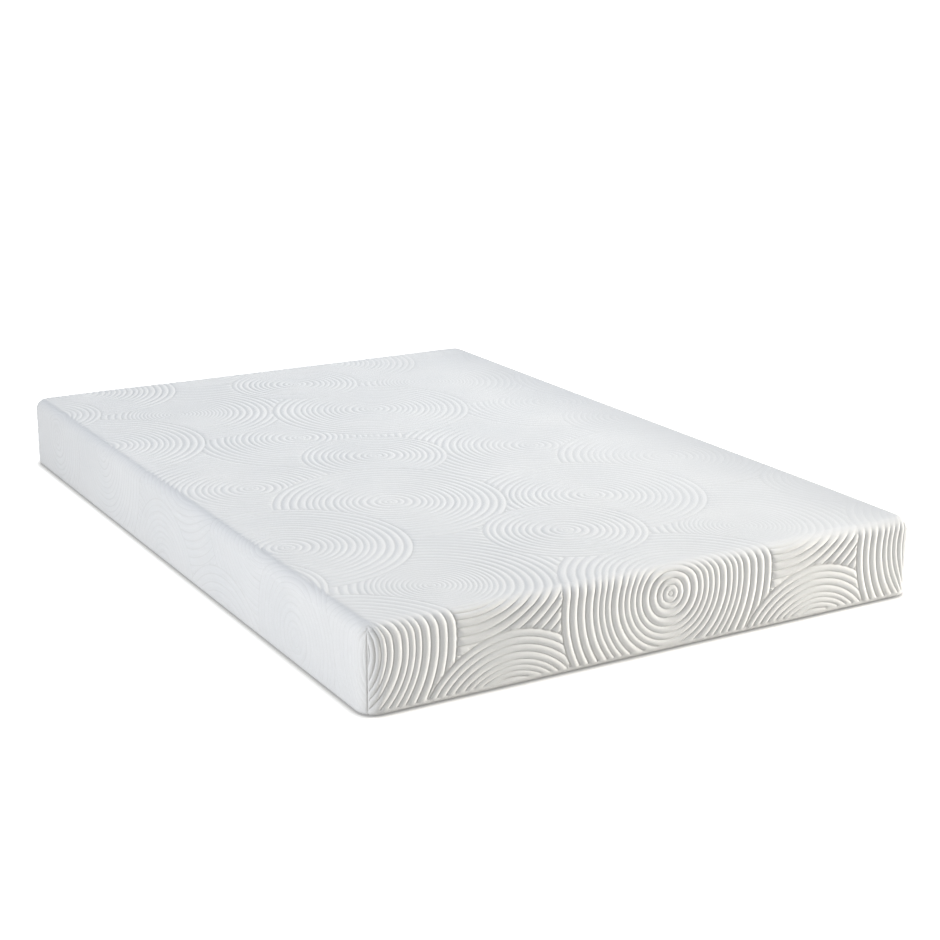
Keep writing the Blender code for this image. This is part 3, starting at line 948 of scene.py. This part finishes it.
def away_from_slot(s, t, slot):
    """0 beside the zip's slot and under it, 1 elsewhere: the welt and the cloth below it are plain."""
    clear = smooth_step(slot, 0.006, 0.018)
    under = t > HALF_LENGTH + HEIGHT - ZIP_Z
    beside = smooth_step(np.abs(s), SLOT_HALF_LENGTH - 0.020, SLOT_HALF_LENGTH + 0.006)
    return clear * np.where(under, beside, 1.0)


def slot_welt(slot):
    """The rolled edge round the slot, with the dip that its row of stitches pulls in."""
    welt = 1 - smooth_step(slot, 0.005, 0.009)
    roll = -0.0020 * (1 - smooth_step(slot, 0.0, 0.0024))
    stitch_dip = -0.0007 * np.exp(-(((slot - STITCH_LINE) / 0.0010) ** 2))
    return welt * (roll + stitch_dip)


def cloth_height(s, t, place):
    """How far the cloth's face stands out from the smooth form, and how much painted shade, with a tint
    of tighter yarn, it gets in its valleys and seams.
    """
    owner, away, clear = top_disc(s, t)
    across, width = ring_place(owner, away)
    past = past_edge(s, t)
    seam = np.maximum(seam_distance(s, t), 0.0)
    slot = np.maximum(slot_distance(s, t), 0.0)
    size = puff_size(s, t, past, width)
    above_bottom = 1 - smooth_step(past, HEIGHT - 0.016, HEIGHT - 0.004)
    below_top = smooth_step(past, 0.002, 0.02)
    off_slot = away_from_slot(s, t, slot)
    plain = above_bottom * off_slot

    puff = 1.0 - np.abs(2.0 * across - 1.0) ** 3.0
    puff *= smooth_step(clear, -0.0006, 0.0042)
    by_seam = smooth_step(seam, 0.0006, 0.0055)
    height = size * (puff - (1.0 - CREST_SHARE)) * plain * by_seam
    height -= 0.0008 * (1 - by_seam)
    height -= 0.0018 * (1 - smooth_step(seam, 0.0, 0.0030)) * below_top * above_bottom
    height += puckers(s, t) * above_bottom
    height += slow_waves(place) * plain
    height += slot_welt(slot) - 0.0002 * (1 - off_slot)

    # Painted shade, with a little tint of tighter yarn: in the valleys between rings, round the discs'
    # edges and down the corner seams, more where the puffs are higher.
    ring_valley_tint_and_shade = 1 - smooth_step(np.minimum(across, 1 - across), 0.0, 0.12)
    disc_edge_tint_and_shade = DISC_EDGE_TINT_AND_SHADE * (1 - smooth_step(clear, 0.0, 0.002))
    seam_tint_and_shade = SEAM_TINT_AND_SHADE * (1 - smooth_step(seam, 0.0, 0.0022)) * below_top
    depth = (size / PUFF) ** 0.6
    valley_tint_and_shade = np.maximum(ring_valley_tint_and_shade, disc_edge_tint_and_shade) * plain * depth
    return height, np.maximum(valley_tint_and_shade, seam_tint_and_shade)


def rim_faces(keys, on_rim, outer_index, inner_index):
    """Quads that join the face of the cloth to its back along the rim's part of a closed run."""
    faces = []
    for i in range(len(keys)):
        j = (i + 1) % len(keys)
        if on_rim[i] and on_rim[j]:
            a, b = keys[i], keys[j]
            faces.append((outer_index[b], outer_index[a], inner_index[a], inner_index[b]))
    return faces


def key_of(point):
    return (round(point[0] * 1e5), round(point[1] * 1e5))


def build_cover(material):
    """The cover: its face and its back, meshed flat, folded, joined at their rims and sewn shut."""
    outline = cloth_outline()
    slot = slot_outline(0.0)
    outer_plane, outer_faces = flat_outer_cloth(outline, slot)
    inner_plane, inner_faces = flat_inner_cloth(outline, slot)

    place, out = fold(*outer_plane.T)
    height, valley_tint_and_shade = cloth_height(*outer_plane.T, place)
    outer = place + out * height[:, None]
    inner_place, inner_out = fold(*inner_plane.T)
    inner = inner_place - inner_out * CLOTH_THICKNESS

    first = len(outer)
    outer_index = {key_of(p): i for i, p in enumerate(outer_plane)}
    inner_index = {key_of(p): first + i for i, p in enumerate(inner_plane)}
    faces = [tuple(f) for f in outer_faces.tolist()]
    faces += [tuple(i + first for i in reversed(f)) for f in inner_faces.tolist()]
    free = past_edge(outline[:, 0], outline[:, 1]) > BORDER - 1e-6
    for run, on_rim in ((outline, free), (slot[::-1], np.ones(len(slot), bool))):
        faces += rim_faces([key_of(p) for p in run], on_rim, outer_index, inner_index)

    mesh = bpy.data.meshes.new("cover_cloth")
    mesh.from_pydata(np.concatenate([outer, inner]).tolist(), [], faces)
    # The painted shade and yarn tint ride on the cloth's face as a point attribute that the knit reads.
    depth = mesh.attributes.new("valley_tint_and_shade", "FLOAT", "POINT")
    depth.data.foreach_set("value", np.concatenate([valley_tint_and_shade, np.zeros(len(inner))]))
    weld(mesh, 2e-6)
    mesh.shade_smooth()
    mesh.set_sharp_from_angle(angle=SHARP_EDGE)
    mesh.materials.append(material)
    return put_in_scene("cover_cloth", mesh)


def weld(mesh, distance):
    bm = bmesh.new()
    bm.from_mesh(mesh)
    bmesh.ops.remove_doubles(bm, verts=bm.verts, dist=distance)
    bm.to_mesh(mesh)
    bm.free()


# ------------------------------------------------------------------------- small mesh tools


def stand_in(node):
    """Hides the CAD node that the new piece stands in for."""
    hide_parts(node)


def flipped(faces):
    return [tuple(reversed(face)) for face in faces]


def add_piece(name, verts, faces, material):
    mesh = bpy.data.meshes.new(name)
    mesh.from_pydata(np.asarray(verts).tolist(), [], faces)
    mesh.shade_smooth()
    mesh.materials.append(material)
    made = put_in_scene(name, mesh)
    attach(made, "mattress")
    return made


def loop_faces(first, second, count):
    """Quads between two closed loops of points, given the index of each loop's first point."""
    faces = []
    for i in range(count):
        j = (i + 1) % count
        faces.append((first + i, first + j, second + j, second + i))
    return faces


def skin(loops, closed_ends=True):
    """One body from a run of closed loops with the same number of points each."""
    count = len(loops[0])
    faces = []
    for row in range(len(loops) - 1):
        faces += loop_faces(row * count, (row + 1) * count, count)
    if closed_ends:
        last = (len(loops) - 1) * count
        faces += flipped([range(count)]) + [tuple(range(last, last + count))]
    return np.concatenate(loops), faces


def round_rectangle(half_x, half_y, radius, per_corner, per_side):
    """Points round a rectangle with round corners, anticlockwise from the +X side."""
    points = []
    for quarter, (sx, sy) in enumerate(((1, 1), (-1, 1), (-1, -1), (1, -1))):
        centre = np.array([sx * (half_x - radius), sy * (half_y - radius)])
        turn = quarter * math.pi / 2 + math.pi / 2 * np.arange(per_corner + 1) / per_corner
        arc = centre + radius * np.column_stack([np.cos(turn), np.sin(turn)])
        points.append(arc)
        nx, ny = ((-1, 1), (-1, -1), (1, -1), (1, 1))[quarter]
        following = np.array([nx * (half_x - radius), ny * (half_y - radius)])
        start = following + radius * np.array([math.cos(turn[-1]), math.sin(turn[-1])])
        share = (np.arange(per_side) + 1)[:, None] / (per_side + 1)
        points.append(arc[-1] + (start - arc[-1]) * share)
    return np.concatenate(points)


def slab_profile(low, high, top, bottom, inner_steps):
    """A slab's half section as (inset, height), from the middle of its top to that of its underside."""
    quarter = np.linspace(0.0, math.pi / 2, 6)
    rows = [(inset, high) for inset in inner_steps]
    rows += [(top * (1 - math.sin(a)), high - top * (1 - math.cos(a))) for a in quarter]
    rows += [(0.0, z) for z in np.linspace(high - top, low + bottom, 5)[1:-1]]
    rows += [(bottom * (1 - math.cos(a)), low + bottom * (1 - math.sin(a))) for a in quarter]
    rows += [(inset, low) for inset in reversed(inner_steps)]
    return rows


# The loops on a slab's faces lie so far in from its edge, as shares of its half width.
SLAB_STEPS = (0.97, 0.85, 0.70, 0.55, 0.42, 0.30, 0.20, 0.12, 0.065)


def build_slab(name, low, high, corner, top, bottom, ease, material):
    """A cut block of foam or a flat panel. Its faces dip by up to the given ease, as cut foam does."""
    half_x, half_y = (high.x - low.x) / 2, (high.y - low.y) / 2
    middle = (low + high) / 2
    steps = [half_x * share for share in SLAB_STEPS]
    loops = []
    for inset, z in slab_profile(low.z, high.z, top, bottom, steps):
        radius = max(corner - inset, 0.004)
        outline = round_rectangle(half_x - inset, half_y - inset, radius, 5, 26)
        x, y = outline.T
        wave = 0.5 + 0.25 * np.sin(9.0 * x + 3.0 * z * 40) + 0.25 * np.sin(7.3 * y + 1.1)
        shrink = 1.0 - ease * wave / half_x
        at_top = 1.0 if z > middle.z else -1.0
        face = smooth_step(np.full(x.shape, inset), 0.0, 0.05)
        height = z - at_top * ease * wave * face
        loops.append(np.column_stack([x * shrink + middle.x, y * shrink + middle.y, height]))
    verts, faces = skin(loops)
    return add_piece(name, verts, flipped(faces), material)


def stitch_template():
    """One stitch, 2 long and 2 across, as points and faces: a spindle with six sides."""
    sides = range(6)
    turn = [2 * math.pi * i / 6 for i in sides]
    points = [(-1.0, 0.0, 0.0)]
    for place in (-0.62, 0.62):
        points += [(place, 0.85 * math.cos(a), 0.85 * math.sin(a)) for a in turn]
    points.append((1.0, 0.0, 0.0))
    faces = [(0, 1 + (i + 1) % 6, 1 + i) for i in sides]
    faces += [(1 + i, 1 + (i + 1) % 6, 7 + (i + 1) % 6, 7 + i) for i in sides]
    faces += [(13, 7 + i, 7 + (i + 1) % 6) for i in sides]
    return np.array(points), faces


def stitches(name, path, outs, length, radius, pitch, material, lean=(0.0,)):
    """Separate stitches along a path: each is a short plump thread laid on the cloth.

    lean holds the angles that the stitches make with the path, in turn, in radians.
    """
    path, outs = np.asarray(path), np.asarray(outs)
    steps = np.linalg.norm(np.diff(path, axis=0), axis=1)
    reach = np.concatenate([[0.0], np.cumsum(steps)])
    count = int(reach[-1] / pitch)
    places = (np.arange(count) + 0.5) * pitch

    def at(distances, values):
        return np.column_stack([np.interp(distances, reach, column) for column in values.T])

    centre, out = at(places, path), at(places, outs)
    run = at(places + pitch / 4, path) - at(places - pitch / 4, path)
    run /= np.linalg.norm(run, axis=1)[:, None]
    side = np.cross(out, run)
    angle = np.resize(lean, count)[:, None]
    along = run * np.cos(angle) + side * np.sin(angle)
    across = np.cross(out, along)

    template, shape = stitch_template()
    verts = (
        centre[:, None]
        + along[:, None] * template[None, :, :1] * length / 2
        + across[:, None] * template[None, :, 1:2] * radius
        + out[:, None] * template[None, :, 2:] * radius
    )
    faces = [tuple(v + len(template) * k for v in face) for k in range(count) for face in shape]
    made = add_piece(name, verts.reshape(-1, 3), faces, material)


def overlocked_strip(name, path, outs, width, thickness, closed, material):
    """A seam allowance wrapped in overlock thread: a flat strip that swells under every wrap."""
    path, outs = np.asarray(path), np.asarray(outs)
    following = np.roll(path, -1, axis=0)
    before = np.roll(path, 1, axis=0)
    if not closed:
        following[-1], before[0] = path[-1], path[0]
    run = following - before
    run /= np.linalg.norm(run, axis=1)[:, None]
    side = np.cross(outs, run)
    half = np.array([(-0.5, -0.2), (-0.42, -0.5), (0.42, -0.5), (0.5, -0.2)])
    section = np.concatenate([half, -half])
    loops = []
    for i, (place, out, across) in enumerate(zip(path, outs, side)):
        swell = 1.0 if i % 2 else 0.80
        wide = width * (0.96 + 0.04 * swell)
        loops.append(place + across * section[:, :1] * wide + out * section[:, 1:] * thickness * swell)
    verts, faces = skin(loops, closed_ends=not closed)
    if closed:
        faces += loop_faces((len(loops) - 1) * 8, 0, 8)
    return add_piece(name, verts, faces, material)


def box_middle(node):
    low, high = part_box(node)
    return (low + high) / 2, high - low


# --------------------------------------------------------------------- the pieces inside


# The core's corner radius in plan, and how far a cut or stretched face dips.
FOAM_CORNER = 0.0487
FACE_DIP = 0.0004


def build_foams():
    """The three layers, each with its colour, cells, depth of bump, and top and bottom edge radii."""
    looks = {
        "memory_foam_top": ("memory_foam", (0.88, 0.86, 0.78), 700.0, 0.0002, 0.024, 0.0005),
        "transition_foam": ("transition_foam", (0.72, 0.80, 0.86), 450.0, 0.0003, 0.0005, 0.0005),
        "support_foam_base": ("support_foam", (0.90, 0.90, 0.88), 300.0, 0.0005, 0.0005, 0.005),
    }
    for node, (slot, colour, cells, depth, top, bottom) in looks.items():
        low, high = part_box(node)
        material = make_foam(slot, colour, cells, depth)
        block = build_slab(f"{node}_block", low, high, FOAM_CORNER, top, bottom, FACE_DIP, material)
        stand_in(node)


def sleeve_section(x_inset, z_low, z_high, half_x, top, bottom):
    """The sock's outline round the core at one station, in X and Z."""
    reach = half_x - x_inset
    corners = (
        (1, z_low, bottom, -0.5), (1, z_high, top, 0.0),
        (-1, z_high, top, 0.5), (-1, z_low, bottom, 1.0),
    )
    arcs = []
    for sign, z, radius, start in corners:
        radius = max(min(radius, (z_high - z_low) / 2.2), 0.001)
        centre_z = z + radius if z == z_low else z - radius
        turn = (start + 0.5 * np.arange(5) / 4) * math.pi
        centre = (sign * (reach - radius), centre_z)
        arcs.append(centre + radius * np.column_stack([np.cos(turn), np.sin(turn)]))
    sides = (4, 18, 4, 18)
    points = []
    for i, arc in enumerate(arcs):
        following = arcs[(i + 1) % 4][0]
        points.append(arc)
        share = (np.arange(sides[i]) + 1)[:, None] / (sides[i] + 1)
        points.append(arc[-1] + (following - arc[-1]) * share)
    return np.concatenate(points)


def build_sleeve(material):
    """The barrier sleeve: closed at the foot end, and hemmed round its opening at the head end."""
    low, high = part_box("fire_barrier_sleeve")
    corner, top, bottom = 0.050, 0.026, 0.006
    hem = 0.045
    thickness = 0.001

    def loops(shrink):
        made = []

        def add(y, x_inset, top_inset, bottom_inset, ripple=0.0):
            outline = sleeve_section(
                x_inset + shrink, low.z + bottom_inset + shrink, high.z - top_inset - shrink,
                high.x, top, bottom,
            )
            x, z = outline.T
            rib = 1.0 - ripple * (0.5 + 0.5 * np.sin(17.0 * x + 40.0 * y))
            made.append(np.column_stack([x * rib, np.full(x.shape, y), z]))

        def add_end(y, insets):
            for inset in insets:
                add(y, corner + inset, top + inset, bottom + inset)

        def add_bend(y, sign, distances):
            for away in distances:
                add(y + sign * away, *(rounded_off(away, radius) for radius in (corner, top, bottom)))

        foot, head = low.y + shrink, high.y - shrink
        bend = (0.0, 0.003, 0.008, 0.016, 0.027, 0.038)
        add_end(foot, (0.045, 0.020))
        add_bend(foot, 1, bend)
        for i, y in enumerate(np.linspace(foot + 0.050, head - 0.050, 44)):
            add(y, 0.0, 0.0, 0.0, 0.0003 * (i % 2))
        add_bend(head, -1, bend[::-1])
        add_end(head, (0.5 * hem, hem))
        return made

    outside, inside = loops(0.0), loops(thickness)
    count = len(outside[0])
    verts = np.concatenate(outside + inside)
    half = len(outside) * count
    faces = [tuple(range(count))]
    for row in range(len(outside) - 1):
        faces += flipped(loop_faces(row * count, (row + 1) * count, count))
        faces += loop_faces(half + row * count, half + (row + 1) * count, count)
    faces += flipped([range(half, half + count)])
    last = (len(outside) - 1) * count
    faces += flipped(loop_faces(last, half + last, count))
    sleeve = add_piece("barrier_sleeve_knit", verts, faces, material)
    stand_in("fire_barrier_sleeve")


def rounded_off(away, radius):
    """How far a rounded edge has drawn in at a distance from the flat end that it runs into."""
    if away >= radius:
        return 0.0
    return radius - math.sqrt(radius**2 - (radius - away) ** 2)


# ------------------------------------------------------------------------ seams and bottom


# The distance between an overlocked seam's swells.
WRAP = 0.0022


def build_corner_seams(thread):
    """The seam allowances inside the four corners, upright and wrapped in thread."""
    for end in ("foot", "head"):
        for side in ("left", "right"):
            node = f"corner_seam_{end}_{side}"
            middle, size = box_middle(node)
            heights = np.arange(middle.z - size.z / 2, middle.z + size.z / 2, WRAP)
            path = np.column_stack([np.tile(middle.xy, (len(heights), 1)), heights])
            out = Vector((math.copysign(1.0, middle.x), math.copysign(1.0, middle.y), 0.0))
            outs = np.tile(out.normalized(), (len(heights), 1))
            seam = overlocked_strip(
                f"{node}_thread", path, outs,
                width=0.0078, thickness=0.0015, closed=False, material=thread,
            )
            stand_in(node)


def build_bottom(cloth, thread):
    """The bottom panel, its overlocked seam allowance inside, and the flatlock stitches outside."""
    low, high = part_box("bottom_panel")
    corner = CORNER_RADIUS - TURN_UNDER
    edge = 0.0008
    panel = build_slab("bottom_panel_cloth", low, high, corner, edge, edge, FACE_DIP, cloth)
    stand_in("bottom_panel")

    seam_low, seam_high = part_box("bottom_seam")
    width, thickness = 0.0076, seam_high.z - seam_low.z
    inset = width / 2
    outline = round_rectangle(seam_high.x - inset, seam_high.y - inset, corner - inset, 6, 280)
    middle = (seam_low.z + seam_high.z) / 2
    path = np.column_stack([outline, np.full(len(outline), middle)])
    outs = np.tile((0.0, 0.0, 1.0), (len(path), 1))
    seam = overlocked_strip(
        "bottom_seam_thread", path, outs, width, thickness * 0.95, closed=True, material=thread
    )
    stand_in("bottom_seam")

    join = round_rectangle(high.x, high.y, corner, 6, 60)
    join = np.concatenate([join, join[:1]])
    path = np.column_stack([join, np.zeros(len(join))])
    outs = np.tile((0.0, 0.0, -1.0), (len(path), 1))
    stitches(
        "bottom_flatlock", path, outs,
        length=0.0068, radius=0.0004, pitch=0.0042, material=thread, lean=(0.9, -0.9),
    )


# ------------------------------------------------------------------------------------- zip


def build_zip_tapes(material):
    """Two woven tapes, thicker along the coil and faintly rippled along their length."""
    for side, sign in (("upper", 1), ("lower", -1)):
        node = f"zip_tape_{side}"
        middle, size = box_middle(node)
        stations = np.linspace(-size.x / 2, size.x / 2, 160)
        near = ZIP_Z + sign * 0.001
        across = near + sign * np.array([0.0, 0.0012, 0.0045, 0.009, size.z])
        loops = []
        for i, x in enumerate(stations):
            ripple = 0.00012 * math.sin(i * 1.7)
            thick = np.array([1.25, 1.0, 0.8, 0.8, 0.7]) * size.y / 2
            lift = ripple * np.arange(5) / 4
            front = np.column_stack([np.full(5, x), middle.y + thick + lift, across])
            back = np.column_stack([np.full(5, x), middle.y - thick + lift, across])
            loops.append(np.concatenate([front, back[::-1]]))
        verts, faces = skin(loops)
        tape = add_piece(f"{node}_weave", verts, faces if sign > 0 else flipped(faces), material)
        stand_in(node)


# A coil turn's sections: how far each is from the slot's middle line, and its width and depth.
COIL_SECTIONS = (
    (0.00060, 0.25, 0.55), (0.00085, 0.62, 0.95), (0.00160, 0.52, 0.98),
    (0.00330, 0.50, 0.96), (0.00355, 0.30, 0.60),
)


def build_zip_coils(material):
    """The coil's turns as they show in the slot: plump bars with a head that meets the other row's."""
    pitch = 0.0020
    turn = 2 * math.pi * np.arange(6) / 6 + math.pi / 6
    for side, sign, start in (("upper", 1, 0.0), ("lower", -1, 0.5)):
        node = f"zip_coil_{side}"
        middle, size = box_middle(node)
        count = int(size.x / pitch) - 1
        x = -size.x / 2 + (np.arange(count) + 0.6 + start) * pitch
        bars = []
        for reach, half_width, depth in COIL_SECTIONS:
            ring = np.column_stack(
                [
                    half_width * pitch * 0.92 * np.cos(turn) + (reach - 0.002) * 0.12,
                    depth * size.y / 2 * np.sin(turn),
                    np.full(6, sign * reach),
                ]
            )
            bars.append(ring)
        bar = np.concatenate(bars)
        _, shape = skin(bars)
        if sign < 0:
            shape = flipped(shape)
        places = np.column_stack([x, np.full(count, middle.y), np.full(count, ZIP_Z)])
        verts = bar[None] + places[:, None]
        faces = [tuple(v + len(bar) * k for v in f) for k in range(count) for f in shape]
        coil = add_piece(f"{node}_turns", verts.reshape(-1, 3), faces, material)
        stand_in(node)


def build_zip_stitching(thread):
    """The row of stitches round the slot that holds the tapes to the cloth."""
    line = slot_outline(STITCH_LINE)
    line = np.concatenate([line, line[:1]])
    z = HEIGHT + HALF_LENGTH - line[:, 1]
    path = np.column_stack([line[:, 0], np.full(len(line), HALF_LENGTH - 0.0004), z])
    outs = np.tile((0.0, 1.0, 0.0), (len(path), 1))
    stitches("zip_stitching", path, outs, length=0.0030, radius=0.00042, pitch=0.0038, material=thread)


def build_label(material, thread):
    """Blank care label, sewn by its top edge and hanging free below."""
    middle, size = box_middle("care_label")
    loops = []
    for z in np.linspace(size.z / 2, -size.z / 2, 17):
        share = 0.5 - z / size.z
        x = np.linspace(-size.x / 2, size.x / 2, 15)
        hang = 0.00010 * share * np.sin(2.2 * math.pi * (x / size.x + 0.5))
        front = np.column_stack([x, hang + 0.00009, np.full(15, z)])
        back = np.column_stack([x, hang - 0.00009, np.full(15, z)])[::-1]
        loops.append(np.concatenate([front, back]) + np.array(middle))
    verts, faces = skin(loops)
    label = add_piece("care_label_ribbon", verts, faces, material)
    stand_in("care_label")
    top = middle.z + size.z / 2 - 0.003
    path = [(middle.x + sign * size.x / 2, middle.y - 0.0003, top) for sign in (-1, 1)]
    stitches(
        "care_label_stitching", path, [(0, -1, 0)] * 2,
        length=0.0024, radius=0.0002, pitch=0.0032, material=thread,
    )


def finish_metal(material):
    """The slider, its tab and the stops keep their CAD shapes, with their edges eased."""
    for node in ("zip_slider", "zip_pull_tab", "zip_stop_left", "zip_stop_right"):
        piece = bpy.data.objects[node]
        for slot in piece.material_slots:
            slot.material = material
        piece.modifiers.new("joined_facets", "WELD").merge_threshold = 2e-6
        eased = piece.modifiers.new("eased_edges", "BEVEL")
        eased.width = 0.00015
        eased.segments = 2
        eased.limit_method = "ANGLE"
        eased.angle_limit = math.radians(35)


# ------------------------------------------------------------------------------------ main


def main():
    add_camera()
    light_the_studio()
    add_scrim()
    add_floor()
    thread = make_thread("seam_thread", (0.88, 0.88, 0.87))

    cover = build_cover(make_cover_knit())
    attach(cover, "mattress")
    stand_in("quilted_cover")

    build_foams()
    build_sleeve(make_barrier_knit())
    build_corner_seams(thread)
    build_bottom(make_bottom_knit(), thread)
    build_zip_tapes(make_woven_tape("zip_tape", (0.84, 0.84, 0.84)))
    build_zip_coils(make_coil())
    build_zip_stitching(thread)
    build_label(make_label_tape(), thread)
    finish_metal(make_zip_metal())


main()
